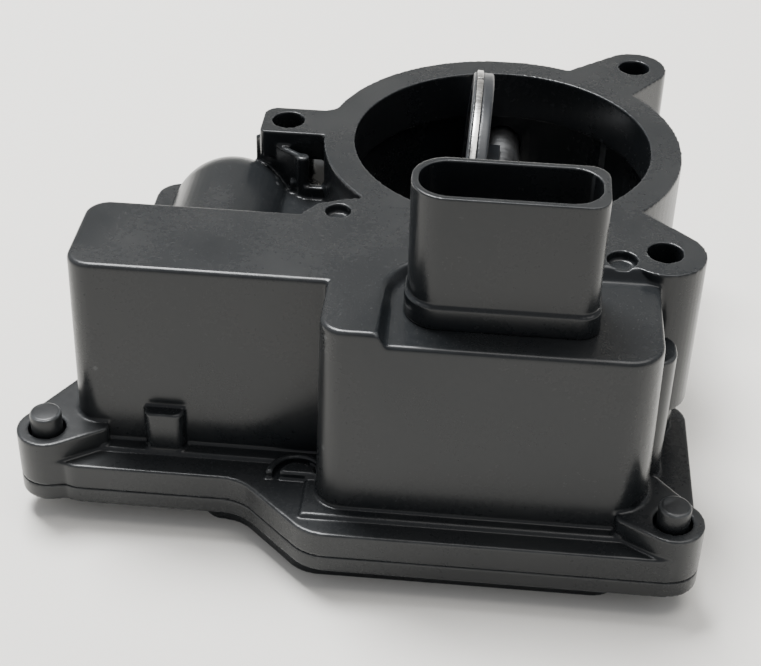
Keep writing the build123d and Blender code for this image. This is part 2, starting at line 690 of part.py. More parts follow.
with BuildPart() as sector_gear:
    with BuildSketch(front_plane(SECTOR_Y[1])):
        with Locations(SHAFT_C):
            add(fan(SECTOR_TEETH / 2 - 1.2, MESH_ANGLE - 3.2, MESH_ANGLE + 93.4))
            Circle(8.0)
        draw_gear(SHAFT_C, SECTOR_TEETH, STAGE2_MODULE, MESH_ANGLE, drawn=9)
    extrude(amount=depth(SECTOR_Y))
    with BuildSketch(front_plane(SECTOR_Y[0])):
        with Locations(SHAFT_C):
            Circle(SPOOL_R)
    extrude(amount=SECTOR_Y[0] - MAGNET_Y[1])
    with BuildSketch(front_plane(-48.5)):
        with Locations(SHAFT_C):
            Circle(SPOOL_FLANGE_R)
    extrude(amount=1.4)
    with BuildSketch(front_plane(-60.0)):
        with Locations(SHAFT_C):
            Circle(7.4)
    extrude(amount=-60.0 - MAGNET_Y[0])
    with BuildSketch(front_plane(MAGNET_Y[1])):
        with Locations(SHAFT_C):
            Circle(MAGNET_R)
    extrude(amount=depth(MAGNET_Y), mode=Mode.SUBTRACT)
    with BuildSketch(front_plane(SECTOR_Y[1])):
        with Locations(SHAFT_C):
            Circle(SHAFT_R)
    extrude(amount=SECTOR_Y[1] - SHAFT_FRONT, mode=Mode.SUBTRACT)
save(sector_gear, "sector_gear")

shaft_ring("sensor_magnet", MAGNET_R, 0, MAGNET_Y[1], depth(MAGNET_Y))


def double_gear(name, centre, wheel, wheel_module, wheel_y, wheel_phase, pinion, pinion_module,
                pinion_y, pinion_phase):
    """Wheel and pinion moulded as one, turning freely on a fixed pin."""
    with BuildPart() as gear:
        with BuildSketch(front_plane(wheel_y[1])):
            draw_gear(centre, wheel, wheel_module, wheel_phase)
        extrude(amount=depth(wheel_y))
        with BuildSketch(front_plane(pinion_y[1])):
            draw_gear(centre, pinion, pinion_module, pinion_phase)
        extrude(amount=depth(pinion_y))
        with BuildSketch(front_plane(max(wheel_y[1], pinion_y[1]))):
            with Locations(centre):
                Circle(3.2)
        extrude(amount=max(wheel_y[1], pinion_y[1]) - min(wheel_y[0], pinion_y[0]))
        with BuildSketch(front_plane(wheel_y[0])):
            with Locations(centre):
                Circle(wheel * wheel_module / 2 - 2.4)
                Circle(pinion * pinion_module / 2 + 2.0, mode=Mode.SUBTRACT)
        extrude(amount=-0.8, mode=Mode.SUBTRACT)
        with BuildSketch(front_plane(-30)):
            with Locations(centre):
                Circle(1.55)
        extrude(amount=30, mode=Mode.SUBTRACT)
    save(gear, name)


def gap_facing(teeth, direction):
    """First tooth angle that puts a gap, not a tooth, on the given direction."""
    return direction + 180 / teeth


TO_FIRST = angle_to(IDLER2_C, IDLER1_C)
TO_MOTOR = angle_to(IDLER1_C, MOTOR_C)
double_gear("second_idler_gear", IDLER2_C, IDLER2_WHEEL, STAGE1_MODULE, WHEEL2_Y, TO_FIRST,
            STAGE2_PINION, STAGE2_MODULE, (SECTOR_Y[0] - 0.6, SECTOR_Y[1]),
            gap_facing(STAGE2_PINION, MESH_ANGLE - 180))
double_gear("first_idler_gear", IDLER1_C, IDLER1_WHEEL, STAGE0_MODULE, WHEEL1_Y, TO_MOTOR,
            IDLER1_PINION, STAGE1_MODULE, (WHEEL2_Y[0] - 0.6, WHEEL2_Y[1]),
            gap_facing(IDLER1_PINION, TO_FIRST - 180))

for pin_name, pin_centre, pin_front in (("second_idler_pin", IDLER2_C, -51.4),
                                        ("first_idler_pin", IDLER1_C, -51.7)):
    with BuildPart() as idler_pin:
        with BuildSketch(front_plane(-32.6)):
            with Locations(pin_centre):
                Circle(1.5)
        extrude(amount=-32.6 - pin_front)
        chamfer(idler_pin.edges().filter_by(GeomType.CIRCLE), length=0.25)
    save(idler_pin, pin_name)

# ================================================================== return spring
WIRE_R = 0.6
SPRING_R = 7.0
with BuildPart() as return_spring:
    with BuildLine() as coil:
        Helix(pitch=1.7, height=SPRING_Y[1] - SPRING_Y[0] - 2 * WIRE_R, radius=SPRING_R,
              center=(0, SPRING_Y[0] + WIRE_R, SHAFT_Z), direction=(0, 1, 0))
    with BuildSketch(Plane(origin=coil.line @ 0, z_dir=coil.line % 0)):
        Circle(WIRE_R)
    sweep(is_frenet=True)
save(return_spring, "return_spring")

# ================================================================== drive motor
CAN_WALL = 1.1
END_CAP_BACK = -43.0
MOTOR_SHAFT_R = 1.5
MOTOR_BEARING_R = 3.2
CORE_R = 7.2
CORE_Y = (-34.4, -13.4)
SLOT_R = 1.5
SLOT_DEPTH = 2.2
MAGNET_ROOT_R = 7.6
COMMUTATOR_Y = (-41.6, -37.4)
COMMUTATOR_R = 3.1
FRONT_BEARING_Y = (-46.0, -43.4)
REAR_BEARING_Y = (-6.2, -3.6)
POLES = 5


def motor_tube(name, outer_r, inner_r, y_range):
    """Plain ring on the motor's axis."""
    with BuildPart() as ring:
        with BuildSketch(front_plane(y_range[1])):
            with Locations(MOTOR_C):
                Circle(outer_r)
                Circle(inner_r, mode=Mode.SUBTRACT)
        extrude(amount=depth(y_range))
    save(ring, name)


with BuildPart() as motor_can:
    with BuildSketch(front_plane(MOTOR_BACK)):
        with Locations(MOTOR_C):
            Circle(MOTOR_R)
    extrude(amount=MOTOR_BACK - END_CAP_BACK)
    fillet(motor_can.edges().group_by(Axis.Y)[-1], radius=1.6)
    with BuildSketch(front_plane(REAR_BEARING_Y[1] + 1.0)):
        with Locations(MOTOR_C):
            Circle(BEARING_BOSS_R)
    extrude(amount=REAR_BEARING_Y[1] + 1.0 - MOTOR_BACK)
    with BuildSketch(front_plane(MOTOR_BACK - CAN_WALL)):
        with Locations(MOTOR_C):
            Circle(MOTOR_R - CAN_WALL)
    extrude(amount=MOTOR_BACK - CAN_WALL - END_CAP_BACK, mode=Mode.SUBTRACT)
    with BuildSketch(front_plane(REAR_BEARING_Y[1])):
        with Locations(MOTOR_C):
            Circle(MOTOR_BEARING_R)
    extrude(amount=REAR_BEARING_Y[1] - MOTOR_BACK + CAN_WALL, mode=Mode.SUBTRACT)
save(motor_can, "motor_can")

with BuildPart() as motor_end_cap:
    with BuildSketch(front_plane(END_CAP_BACK)):
        with Locations(MOTOR_C):
            Circle(MOTOR_R)
    extrude(amount=END_CAP_BACK - MOTOR_FRONT)
    with BuildSketch(front_plane(END_CAP_BACK + 4.6)):
        with Locations(MOTOR_C):
            Circle(MOTOR_R - CAN_WALL)
            Circle(MOTOR_R - CAN_WALL - 1.2, mode=Mode.SUBTRACT)
    extrude(amount=4.6)
    with BuildSketch(front_plane(END_CAP_BACK)):
        with Locations(MOTOR_C):
            Circle(MOTOR_SHAFT_R + 0.6)
            with PolarLocations(MOTOR_SCREW_R, 2, MOTOR_SCREW_ANGLE, 240):
                Circle(1.3)
    extrude(amount=END_CAP_BACK - MOTOR_FRONT, mode=Mode.SUBTRACT)
    with BuildSketch(front_plane(END_CAP_BACK)):
        with Locations(MOTOR_C):
            Circle(MOTOR_BEARING_R)
    extrude(amount=END_CAP_BACK - FRONT_BEARING_Y[0], mode=Mode.SUBTRACT)
save(motor_end_cap, "motor_end_cap")

motor_tube("motor_front_bearing", MOTOR_BEARING_R, MOTOR_SHAFT_R + 0.02, FRONT_BEARING_Y)
motor_tube("motor_rear_bearing", MOTOR_BEARING_R, MOTOR_SHAFT_R + 0.02, REAR_BEARING_Y)

with BuildPart() as motor_magnets:
    with BuildSketch(front_plane(CORE_Y[1] + 2)):
        with Locations(MOTOR_C):
            Circle(MOTOR_R - CAN_WALL)
            Circle(MAGNET_ROOT_R, mode=Mode.SUBTRACT)
            Rectangle(5.0, 2 * MOTOR_R, mode=Mode.SUBTRACT)
    extrude(amount=depth(CORE_Y) + 3)
save(motor_magnets, "motor_magnets")

with BuildPart() as motor_brushes:
    with BuildSketch(front_plane(COMMUTATOR_Y[1])):
        with Locations(MOTOR_C):
            Rectangle(2 * (MOTOR_R - CAN_WALL - 1.4), 3.0)
            Circle(COMMUTATOR_R + 0.05, mode=Mode.SUBTRACT)
    extrude(amount=depth(COMMUTATOR_Y) - 0.4)
save(motor_brushes, "motor_brushes")

with BuildPart() as motor_shaft:
    with BuildSketch(front_plane(REAR_BEARING_Y[1])):
        with Locations(MOTOR_C):
            Circle(MOTOR_SHAFT_R)
    extrude(amount=REAR_BEARING_Y[1] + 51.5)
    chamfer(motor_shaft.edges().filter_by(GeomType.CIRCLE), length=0.2)
save(motor_shaft, "motor_shaft")

with BuildPart() as armature_core:
    with BuildSketch(front_plane(CORE_Y[1])):
        with Locations(MOTOR_C):
            Circle(CORE_R)
            Circle(MOTOR_SHAFT_R, mode=Mode.SUBTRACT)
            with PolarLocations(0, POLES, 36):
                with Locations((CORE_R - SLOT_DEPTH, 0)):
                    Circle(SLOT_R, mode=Mode.SUBTRACT)
                with Locations((CORE_R, 0)):
                    Rectangle(3.0, 1.0, mode=Mode.SUBTRACT)
    extrude(amount=depth(CORE_Y))
save(armature_core, "armature_core")

with BuildPart() as armature_windings:
    with BuildSketch(front_plane(CORE_Y[1])):
        with Locations(MOTOR_C):
            with PolarLocations(CORE_R - SLOT_DEPTH, POLES, 36):
                Circle(SLOT_R)
    extrude(amount=depth(CORE_Y))
    for y_back in (CORE_Y[1] + 2.4, CORE_Y[0]):
        with BuildSketch(front_plane(y_back)):
            with Locations(MOTOR_C):
                Circle(CORE_R - 0.4)
                Circle(MOTOR_SHAFT_R + 0.8, mode=Mode.SUBTRACT)
        extrude(amount=2.4)
save(armature_windings, "armature_windings")

motor_tube("commutator", COMMUTATOR_R, MOTOR_SHAFT_R, COMMUTATOR_Y)

with BuildPart() as motor_pinion:
    with BuildSketch(front_plane(WHEEL1_Y[1] + 0.1)):
        draw_gear(MOTOR_C, MOTOR_PINION, STAGE0_MODULE, gap_facing(MOTOR_PINION, TO_MOTOR - 180))
        with Locations(MOTOR_C):
            Circle(MOTOR_SHAFT_R, mode=Mode.SUBTRACT)
    extrude(amount=depth(WHEEL1_Y) + 0.3)
save(motor_pinion, "motor_pinion")

with BuildPart() as spring_washer:
    with BuildSketch(Plane.YZ.offset(MOTOR_C[0])):
        with Locations((0, 0)):
            Polygon((MOTOR_BACK, MOTOR_Z + 5.2), (MOTOR_BACK + 0.5, MOTOR_Z + 5.2),
                    (TUNNEL_BACK, MOTOR_Z + 10.0), (TUNNEL_BACK - 0.5, MOTOR_Z + 10.0), align=None)
    revolve(axis=Axis((MOTOR_C[0], 0, MOTOR_Z), (0, 1, 0)))
save(spring_washer, "spring_washer")

with BuildPart() as motor_screws:
    with BuildSketch(front_plane(BULKHEAD_Y[0])):
        with Locations(MOTOR_C):
            with PolarLocations(MOTOR_SCREW_R, 2, MOTOR_SCREW_ANGLE, 240):
                Circle(2.3)
    extrude(amount=1.5)
    with BuildSketch(front_plane(END_CAP_BACK)):
        with Locations(MOTOR_C):
            with PolarLocations(MOTOR_SCREW_R, 2, MOTOR_SCREW_ANGLE, 240):
                Circle(1.3)
    extrude(amount=END_CAP_BACK - BULKHEAD_Y[0])
save(motor_screws, "motor_screws")

# ================================================================== connector terminals and motor leads
BLADE_W = 2.2
BLADE_T = 0.8
BLADE_TOP = 12.0
LEAD_Z = (-5.5, -4.9)
LEAD_Y = (-45.8, -44.2)
TERMINAL_X = [TOWER_C[0] + (i - (PIN_COUNT - 1) / 2) * PIN_PITCH for i in range(PIN_COUNT)]
MOTOR_TERMINAL_X = (MOTOR_C[0] + 3.6, MOTOR_C[0] + 0.4)


def blade(x, bottom):
    """Upright terminal in its slot, pointed at the top, added to the open part."""
    with BuildPart(mode=Mode.PRIVATE) as terminal:
        with BuildSketch(Plane.XY.offset(bottom)):
            with Locations((x, TOWER_C[1])):
                Rectangle(BLADE_W, BLADE_T)
        extrude(amount=BLADE_TOP - bottom)
        chamfer(terminal.faces().sort_by(Axis.Z)[-1].edges(), length=0.3)
    return terminal.part


with BuildPart() as connector_pins:
    for x in TERMINAL_X[:2]:
        add(blade(x, LEAD_Z[1]))
    for x in TERMINAL_X[2:]:
        add(blade(x, LEAD_Z[0]))
        with BuildSketch(Plane.XY.offset(LEAD_Z[0])):
            rectangle(x - BLADE_W / 2, x + BLADE_W / 2, BOARD_Y[1], TOWER_C[1])
        extrude(amount=LEAD_Z[1] - LEAD_Z[0])
        with BuildSketch(Plane.XY.offset(LEAD_Z[1])):
            rectangle(x - BLADE_W / 2, x + BLADE_W / 2, BOARD_Y[1], BOARD_Y[1] + 0.6)
        extrude(amount=-4.2)
save(connector_pins, "connector_pins")

with BuildPart() as motor_leads:
    for x, y, start in zip(TERMINAL_X[:2], LEAD_Y, MOTOR_TERMINAL_X):
        with BuildSketch(Plane.XY.offset(LEAD_Z[0])):
            rectangle(start, x + BLADE_W / 2, y - 0.5, y + 0.5)
            rectangle(x - BLADE_W / 2, x + BLADE_W / 2, TOWER_C[1] - 0.4, y + 0.5)
        extrude(amount=LEAD_Z[1] - LEAD_Z[0])
        with BuildSketch(Plane.XY.offset(LEAD_Z[0])):
            rectangle(start, start + 1.8, y - 0.5, y + 0.5)
        extrude(until=Until.NEXT, target=motor_end_cap.part, dir=(0, 0, -1))
save(motor_leads, "motor_leads")

# ================================================================== position sensor
with BuildPart() as sensor_board:
    with BuildSketch(front_plane(BOARD_Y[1])):
        rectangle(-14.0, 14.0, -30.0, -6.2)
        with Locations(BOARD_POSTS):
            Circle(0.8, mode=Mode.SUBTRACT)
    extrude(amount=depth(BOARD_Y))
save(sensor_board, "sensor_board")

with BuildPart() as sensor_chip:
    with BuildSketch(front_plane(BOARD_Y[1] + 1.0)):
        with Locations(SHAFT_C):
            RectangleRounded(6.4, 5.0, 0.4)
    extrude(amount=1.0)
save(sensor_chip, "sensor_chip")
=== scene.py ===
"""Looks of an electronic throttle body: glossy black moulded housing, offset butterfly with a steel
seal ring, upright connector, and the drive parts inside.  Metres throughout, in the frame's own axes."""
import bmesh
import bpy
import json
from math import cos, radians, sin
from mathutils import Matrix, Vector


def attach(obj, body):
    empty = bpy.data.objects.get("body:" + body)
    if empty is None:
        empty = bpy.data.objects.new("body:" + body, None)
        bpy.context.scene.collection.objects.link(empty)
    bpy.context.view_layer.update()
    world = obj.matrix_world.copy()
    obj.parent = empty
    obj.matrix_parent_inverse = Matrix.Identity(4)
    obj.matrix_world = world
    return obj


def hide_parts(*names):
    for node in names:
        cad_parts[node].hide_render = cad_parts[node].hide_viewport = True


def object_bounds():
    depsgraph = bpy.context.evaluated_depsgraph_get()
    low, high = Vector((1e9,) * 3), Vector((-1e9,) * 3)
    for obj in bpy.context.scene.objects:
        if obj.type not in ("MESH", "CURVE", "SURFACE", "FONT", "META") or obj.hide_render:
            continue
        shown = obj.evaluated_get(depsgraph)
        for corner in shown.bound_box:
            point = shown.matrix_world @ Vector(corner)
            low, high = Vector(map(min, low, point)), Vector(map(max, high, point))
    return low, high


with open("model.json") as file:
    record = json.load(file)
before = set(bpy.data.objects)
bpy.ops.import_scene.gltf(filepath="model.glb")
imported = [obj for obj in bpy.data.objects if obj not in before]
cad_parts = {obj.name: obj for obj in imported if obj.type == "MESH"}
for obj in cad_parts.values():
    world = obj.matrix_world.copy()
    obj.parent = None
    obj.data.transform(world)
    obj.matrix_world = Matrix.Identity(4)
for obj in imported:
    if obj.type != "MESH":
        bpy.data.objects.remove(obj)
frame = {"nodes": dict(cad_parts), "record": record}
cad_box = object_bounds()
nodes = frame["nodes"]

MM = 0.001
WELD = 0.001 * MM
BEVEL_STEPS = 3
EDGE_ANGLE = radians(35)       # sharper corners than this are eased
CREASE_ANGLE = radians(40)     # and sharper ones than this stay creased in the shading


# ------------------------------------------------------------------ shader groups
def new_group(name, inputs, outputs):
    """Empty node group with named sockets: inputs are (name, type, default), outputs (name, type)."""
    group = bpy.data.node_groups.new(name, "ShaderNodeTree")
    for label, kind, default in inputs:
        socket = group.interface.new_socket(name=label, in_out="INPUT", socket_type=kind)
        socket.default_value = default
    for label, kind in outputs:
        group.interface.new_socket(name=label, in_out="OUTPUT", socket_type=kind)
    start = group.nodes.new("NodeGroupInput")
    end = group.nodes.new("NodeGroupOutput")
    return group, start, end


def noise_in(tree, scale, detail=4.0, stretch=(1, 1, 1)):
    """Noise over the object's own coordinates, with scale in cells per metre."""
    where = tree.nodes.new("ShaderNodeTexCoord")
    mapping = tree.nodes.new("ShaderNodeMapping")
    mapping.inputs["Scale"].default_value = stretch
    noise = tree.nodes.new("ShaderNodeTexNoise")
    noise.inputs["Detail"].default_value = detail
    tree.links.new(where.outputs["Object"], mapping.inputs["Vector"])
    tree.links.new(mapping.outputs["Vector"], noise.inputs["Vector"])
    if isinstance(scale, bpy.types.NodeSocket):
        tree.links.new(scale, noise.inputs["Scale"])
    else:
        noise.inputs["Scale"].default_value = scale
    return noise.outputs["Fac"]


def remap(tree, value, low, high, to_low, to_high):
    """Map Range, clamped; any bound may be a socket."""
    node = tree.nodes.new("ShaderNodeMapRange")
    tree.links.new(value, node.inputs["Value"])
    for label, bound in (("From Min", low), ("From Max", high), ("To Min", to_low), ("To Max", to_high)):
        if isinstance(bound, bpy.types.NodeSocket):
            tree.links.new(bound, node.inputs[label])
        else:
            node.inputs[label].default_value = bound
    return node.outputs["Result"]


def arithmetic(tree, operation, a, b):
    """One Math node."""
    node = tree.nodes.new("ShaderNodeMath")
    node.operation = operation
    for socket, value in zip(node.inputs, (a, b)):
        if isinstance(value, bpy.types.NodeSocket):
            tree.links.new(value, socket)
        else:
            socket.default_value = value
    return node.outputs[0]


def blend_colour(tree, factor, a, b):
    """Colour mix of two sockets."""
    node = tree.nodes.new("ShaderNodeMix")
    node.data_type = "RGBA"
    tree.links.new(factor, node.inputs[0])
    tree.links.new(a, node.inputs[6])
    tree.links.new(b, node.inputs[7])
    return node.outputs[2]


def make_mottle():
    """Slow cloudy change of colour and gloss, as melt flow leaves on a moulding."""
    group, start, end = new_group(
        "melt_mottle",
        [("Dark", "NodeSocketColor", (0, 0, 0, 1)), ("Light", "NodeSocketColor", (1, 1, 1, 1)),
         ("Scale", "NodeSocketFloat", 40.0), ("Smooth", "NodeSocketFloat", 0.2),
         ("Rough", "NodeSocketFloat", 0.4)],
        [("Color", "NodeSocketColor"), ("Roughness", "NodeSocketFloat")])
    cloud = noise_in(group, start.outputs["Scale"], 5.0)
    fine = noise_in(group, 900.0, 3.0)
    both = arithmetic(group, "ADD", arithmetic(group, "MULTIPLY", cloud, 0.75),
                      arithmetic(group, "MULTIPLY", fine, 0.25))
    mask = remap(group, both, 0.36, 0.66, 0.0, 1.0)
    group.links.new(blend_colour(group, mask, start.outputs["Dark"], start.outputs["Light"]),
                    end.inputs["Color"])
    group.links.new(remap(group, both, 0.34, 0.68, start.outputs["Smooth"], start.outputs["Rough"]),
                    end.inputs["Roughness"])
    return group


def make_edge_highlight_paint():
    """Painted edge highlight: a broken mask along sharp outer corners, and the colour lifted there to
    stand in for the light the rounded edges catch.
    """
    group, start, end = new_group(
        "painted_edge_highlight",
        [("Color", "NodeSocketColor", (0, 0, 0, 1)), ("Worn", "NodeSocketColor", (1, 1, 1, 1)),
         ("Amount", "NodeSocketFloat", 0.5)],
        [("Color", "NodeSocketColor")])
    geometry = group.nodes.new("ShaderNodeNewGeometry")
    # painted highlight: sharp outer edges get a lighter colour, standing in for light caught on the edge
    ridge = remap(group, geometry.outputs["Pointiness"], 0.515, 0.58, 0.0, 1.0)
    broken = remap(group, noise_in(group, 260.0, 6.0), 0.35, 0.6, 0.25, 1.0)
    mask = arithmetic(group, "MULTIPLY", arithmetic(group, "MULTIPLY", ridge, broken),
                      start.outputs["Amount"])
    group.links.new(blend_colour(group, mask, start.outputs["Color"], start.outputs["Worn"]),
                    end.inputs["Color"])
    return group


def make_settled_dust():
    """Thin dust that settles on faces looking up."""
    group, start, end = new_group(
        "settled_dust",
        [("Color", "NodeSocketColor", (0, 0, 0, 1)), ("Dust", "NodeSocketColor", (1, 1, 1, 1)),
         ("Amount", "NodeSocketFloat", 0.1)],
        [("Color", "NodeSocketColor"), ("Mask", "NodeSocketFloat")])
    geometry = group.nodes.new("ShaderNodeNewGeometry")
    split = group.nodes.new("ShaderNodeSeparateXYZ")
    group.links.new(geometry.outputs["Normal"], split.inputs[0])
    upward = remap(group, split.outputs["Z"], 0.35, 1.0, 0.0, 1.0)
    patch = remap(group, noise_in(group, 75.0, 8.0), 0.38, 0.72, 0.25, 1.0)
    specks = remap(group, noise_in(group, 2600.0, 2.0), 0.62, 0.74, 0.0, 1.0)
    cover = arithmetic(group, "ADD", patch, arithmetic(group, "MULTIPLY", specks, 1.6))
    mask = arithmetic(group, "MULTIPLY", arithmetic(group, "MULTIPLY", upward, cover),
                      start.outputs["Amount"])
    group.links.new(blend_colour(group, mask, start.outputs["Color"], start.outputs["Dust"]),
                    end.inputs["Color"])
    group.links.new(mask, end.inputs["Mask"])
    return group


def make_spark_grain():
    """Height of a fine moulded or sintered grain."""
    group, start, end = new_group(
        "spark_grain", [("Scale", "NodeSocketFloat", 3000.0)], [("Height", "NodeSocketFloat")])
    group.links.new(noise_in(group, start.outputs["Scale"], 3.0), end.inputs["Height"])
    return group


def make_tool_lines():
    """Height and mask of fine lines left by turning or drawing, stretched along the shaft's axis."""
    group, start, end = new_group(
        "tool_lines", [("Scale", "NodeSocketFloat", 2200.0)],
        [("Height", "NodeSocketFloat"), ("Mask", "NodeSocketFloat")])
    lines = noise_in(group, start.outputs["Scale"], 2.0, (0.04, 1.0, 0.04))
    group.links.new(lines, end.inputs["Height"])
    group.links.new(remap(group, lines, 0.4, 0.65, 0.0, 1.0), end.inputs["Mask"])
    return group


MOTTLE = make_mottle()
EDGE_HIGHLIGHT_PAINT = make_edge_highlight_paint()
DUST = make_settled_dust()
GRAIN = make_spark_grain()
TOOL_LINES = make_tool_lines()


def place_group(tree, group, **values):
    """Group node with its inputs set from sockets or plain values."""
    node = tree.nodes.new("ShaderNodeGroup")
    node.node_tree = group
    for label, value in values.items():
        if isinstance(value, bpy.types.NodeSocket):
            tree.links.new(value, node.inputs[label])
        else:
            node.inputs[label].default_value = value
    return node


def raised(tree, height, strength, distance):
    """Bump node driven by a height."""
    bump = tree.nodes.new("ShaderNodeBump")
    bump.inputs["Strength"].default_value = strength
    bump.inputs["Distance"].default_value = distance
    tree.links.new(height, bump.inputs["Height"])
    return bump.outputs["Normal"]


def rgba(r, g, b):
    """Opaque colour."""
    return (r, g, b, 1.0)


def moulded_plastic(name, dark, light, smooth, rough, highlight_colour, highlight_amount=0.4, dust=0.06, cell=40.0,
                    grain=0.12, coat=0.0):
    """Injection-moulded plastic or rubber."""
    material = bpy.data.materials.new(name)
    material.use_nodes = True
    tree = material.node_tree
    shader = tree.nodes["Principled BSDF"]
    mottle = place_group(tree, MOTTLE, Dark=rgba(*dark), Light=rgba(*light), Scale=cell,
                         Smooth=smooth, Rough=rough)
    # painted highlight: the colour is lifted towards the lighter edge colour along sharp outer edges
    edges = place_group(tree, EDGE_HIGHLIGHT_PAINT, Color=mottle.outputs["Color"], Worn=rgba(*highlight_colour), Amount=highlight_amount)
    settled = place_group(tree, DUST, Color=edges.outputs["Color"], Dust=rgba(0.33, 0.32, 0.30),
                          Amount=dust)
    grains = place_group(tree, GRAIN, Scale=2600.0)
    tree.links.new(settled.outputs["Color"], shader.inputs["Base Color"])
    tree.links.new(arithmetic(tree, "ADD", mottle.outputs["Roughness"],
                              arithmetic(tree, "MULTIPLY", settled.outputs["Mask"], 0.6)),
                   shader.inputs["Roughness"])
    tree.links.new(raised(tree, grains.outputs["Height"], grain, 0.00006), shader.inputs["Normal"])
    shader.inputs["IOR"].default_value = 1.38
    if coat:
        shader.inputs["Coat Weight"].default_value = coat
        shader.inputs["Coat Roughness"].default_value = 0.12
    return material


def worked_metal(name, dark, light, smooth, rough, highlight_colour=(0.9, 0.9, 0.88), lines=0.25, cell=120.0,
                 scale=2200.0):
    """Turned, drawn or plated metal."""
    material = bpy.data.materials.new(name)
    material.use_nodes = True
    tree = material.node_tree
    shader = tree.nodes["Principled BSDF"]
    shader.inputs["Metallic"].default_value = 1.0
    mottle = place_group(tree, MOTTLE, Dark=rgba(*dark), Light=rgba(*light), Scale=cell,
                         Smooth=smooth, Rough=rough)
    # painted highlight: the colour is lifted towards the lighter edge colour along sharp outer edges
    edges = place_group(tree, EDGE_HIGHLIGHT_PAINT, Color=mottle.outputs["Color"], Worn=rgba(*highlight_colour), Amount=0.5)
    tool = place_group(tree, TOOL_LINES, Scale=scale)
    tree.links.new(edges.outputs["Color"], shader.inputs["Base Color"])
    tree.links.new(arithmetic(tree, "ADD", mottle.outputs["Roughness"],
                              arithmetic(tree, "MULTIPLY", tool.outputs["Mask"], 0.08)),
                   shader.inputs["Roughness"])
    tree.links.new(raised(tree, tool.outputs["Height"], lines, 0.00004), shader.inputs["Normal"])
    return material


# the edge colour given to each finish below is painted highlight laid on its sharp outer edges
FINISHES = {
    "black_housing_plastic": moulded_plastic(
        "black_housing_plastic", (0.0085, 0.0100, 0.0115), (0.0145, 0.0155, 0.0165), 0.20, 0.34,
        (0.07, 0.073, 0.075), highlight_amount=0.7, dust=0.02, cell=32.0),
    "black_disc_plastic": moulded_plastic(
        "black_disc_plastic", (0.012, 0.014, 0.017), (0.018, 0.020, 0.023), 0.28, 0.42,
        (0.09, 0.092, 0.095), highlight_amount=0.5, dust=0.02),
    "black_rubber": moulded_plastic(
        "black_rubber", (0.014, 0.014, 0.014), (0.024, 0.024, 0.023), 0.6, 0.8, (0.05, 0.05, 0.05),
        highlight_amount=0.2, dust=0.05, grain=0.3),
    "motor_cap_plastic": moulded_plastic(
        "motor_cap_plastic", (0.02, 0.02, 0.02), (0.03, 0.03, 0.03), 0.45, 0.6, (0.07, 0.07, 0.07)),
    "carbon": moulded_plastic(
        "carbon", (0.02, 0.02, 0.021), (0.05, 0.05, 0.052), 0.4, 0.7, (0.12, 0.12, 0.12), grain=0.5,
        cell=300.0),
    "circuit_board": moulded_plastic(
        "circuit_board", (0.008, 0.09, 0.03), (0.015, 0.13, 0.045), 0.25, 0.4, (0.1, 0.3, 0.15),
        cell=500.0, coat=0.3),
    "chip_plastic": moulded_plastic(
        "chip_plastic", (0.015, 0.015, 0.016), (0.025, 0.025, 0.026), 0.5, 0.7, (0.06, 0.06, 0.06)),
    "gear_nylon": moulded_plastic(
        "gear_nylon", (0.58, 0.54, 0.43), (0.68, 0.65, 0.55), 0.35, 0.5, (0.75, 0.73, 0.66), dust=0.02,
        cell=90.0),
    "ferrite": moulded_plastic(
        "ferrite", (0.05, 0.05, 0.053), (0.09, 0.09, 0.093), 0.5, 0.7, (0.16, 0.16, 0.16), grain=0.5,
        cell=200.0),
    "bearing_steel": worked_metal(
        "bearing_steel", (0.42, 0.42, 0.43), (0.56, 0.56, 0.56), 0.18, 0.32),
    "shaft_steel": worked_metal(
        "shaft_steel", (0.09, 0.093, 0.10), (0.14, 0.145, 0.15), 0.34, 0.48, highlight_colour=(0.4, 0.4, 0.4),
        lines=0.06),
    "ring_steel": worked_metal(
        "ring_steel", (0.34, 0.335, 0.325), (0.62, 0.61, 0.59), 0.16, 0.30, lines=0.2),
    "zinc_steel": worked_metal(
        "zinc_steel", (0.42, 0.43, 0.44), (0.58, 0.59, 0.58), 0.3, 0.45, lines=0.1),
    "spring_steel": worked_metal(
        "spring_steel", (0.26, 0.26, 0.27), (0.4, 0.4, 0.4), 0.28, 0.42),
    "core_steel": worked_metal(
        "core_steel", (0.2, 0.2, 0.21), (0.32, 0.32, 0.33), 0.35, 0.5, lines=0.8, scale=1500.0),
    "tinned_copper": worked_metal(
        "tinned_copper", (0.56, 0.53, 0.47), (0.72, 0.69, 0.63), 0.25, 0.4, lines=0.1),
    "copper_wire": worked_metal(
        "copper_wire", (0.45, 0.16, 0.06), (0.62, 0.27, 0.12), 0.25, 0.42, lines=0.9, scale=1800.0,
        highlight_colour=(0.8, 0.5, 0.35)),
    "brass_pinion": worked_metal(
        "brass_pinion", (0.55, 0.38, 0.13), (0.68, 0.5, 0.22), 0.22, 0.36, highlight_colour=(0.9, 0.78, 0.5)),
}
NODE_SLOT = {entry["node"]: entry["material_slot"] for entry in frame["record"]["subparts"]}


def dress(piece, slot):
    """Give a piece one finish and name the slot it comes from."""
    piece.data.materials.clear()
    piece.data.materials.append(FINISHES[slot])


for node_name, node in nodes.items():
    for material_slot in node.material_slots:
        material_slot.material = FINISHES[NODE_SLOT[node_name]]
# the throttle shaft is blackened where the motor's is bright
for material_slot in nodes["throttle_shaft"].material_slots:
    material_slot.material = FINISHES["shaft_steel"]


# ------------------------------------------------------------------ mesh tools
def new_piece(name, mesh):
    """Object for a mesh, linked to the scene."""
    piece = bpy.data.objects.new(name, mesh)
    bpy.context.scene.collection.objects.link(piece)
    return piece


